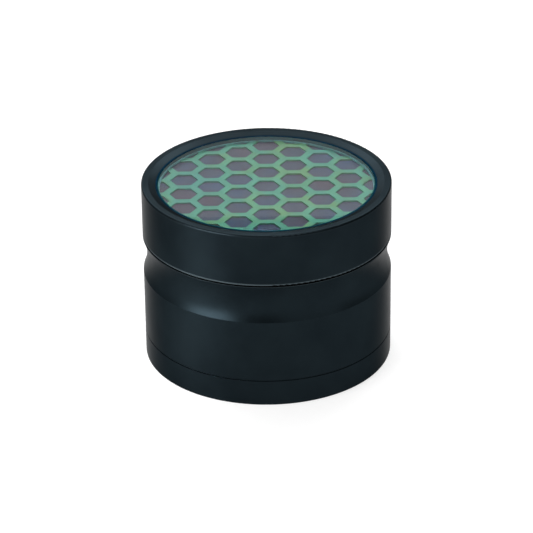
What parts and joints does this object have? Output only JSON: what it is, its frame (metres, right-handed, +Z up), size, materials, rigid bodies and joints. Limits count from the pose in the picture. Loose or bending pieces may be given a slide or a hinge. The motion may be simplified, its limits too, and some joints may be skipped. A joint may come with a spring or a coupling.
{
  "type": "hand grinder",
  "caption": "Round palm-sized hand grinder for dried herbs and spices: windowed magnetic lid with hanging teeth, toothed chamber, screw-on sieve stage and screw-on base cup.",
  "frame": {"origin": "centre of the base's underside, where the grinder stands on a table", "axes": "+Z up along the turning axis, +X to the right and -Y towards the viewer in the picture"},
  "size_m": [0.063, 0.063, 0.0471],
  "materials": {
    "anodised_black": "satin black anodised",
    "seal_silicone": "matte black silicone",
    "screen_steel": "stainless wire net and spring ring",
    "magnet_nickel": "bright nickel plate on a disc magnet",
    "ring_ptfe": "white PTFE",
    "backing_foil": "purple-grey iridescent foil",
    "inlay_foil": "green iridescent foil",
    "window_acrylic": "clear polished acrylic",
    "window_sealant": "pale blue cured sealant"
  },
  "bodies": {
    "base": {"base_cup": "anodised_black"},
    "sieve_seal_ring": {"sieve_seal": "seal_silicone"},
    "sieve": {"sieve_ring": "anodised_black", "screen_mesh": "screen_steel", "screen_retainer": "screen_steel"},
    "chamber_seal_ring": {"chamber_seal": "seal_silicone"},
    "chamber": {"grind_chamber": "anodised_black", "chamber_teeth": "anodised_black", "chamber_magnet": "magnet_nickel"},
    "glide": {"friction_ring": "ring_ptfe"},
    "lid": {"lid_shell": "anodised_black", "lid_teeth": "anodised_black", "lid_magnet": "magnet_nickel", "inlay_backing": "backing_foil", "lid_inlay": "inlay_foil", "lid_window": "window_acrylic", "window_seal": "window_sealant"}
  },
  "joints": [
    {"name": "sieve_rise", "type": "slide", "parent": "base", "child": "sieve_seal_ring", "axis": [0, 0, 1], "range_m": [0, 0.003]},
    {"name": "sieve_unscrew", "type": "hinge", "parent": "sieve_seal_ring", "child": "sieve", "pos_m": [0, 0, 0.0068], "axis": [0, 0, 1], "range_deg": [0, 720]},
    {"name": "chamber_rise", "type": "slide", "parent": "sieve", "child": "chamber_seal_ring", "axis": [0, 0, 1], "range_m": [0, 0.003]},
    {"name": "chamber_unscrew", "type": "hinge", "parent": "chamber_seal_ring", "child": "chamber", "pos_m": [0, 0, 0.023], "axis": [0, 0, 1], "range_deg": [0, 720]},
    {"name": "lid_lift", "type": "slide", "parent": "chamber", "child": "glide", "axis": [0, 0, 1], "range_m": [0, 0.04]},
    {"name": "lid_turn", "type": "hinge", "parent": "glide", "child": "lid", "pos_m": [0, 0, 0.03315], "axis": [0, 0, 1], "continuous": true}
  ],
  "couplings": [
    {"joint": "sieve_rise", "follows": "sieve_unscrew", "m_per_rad": 0.00023873},
    {"joint": "chamber_rise", "follows": "chamber_unscrew", "m_per_rad": 0.00023873}
  ]
}
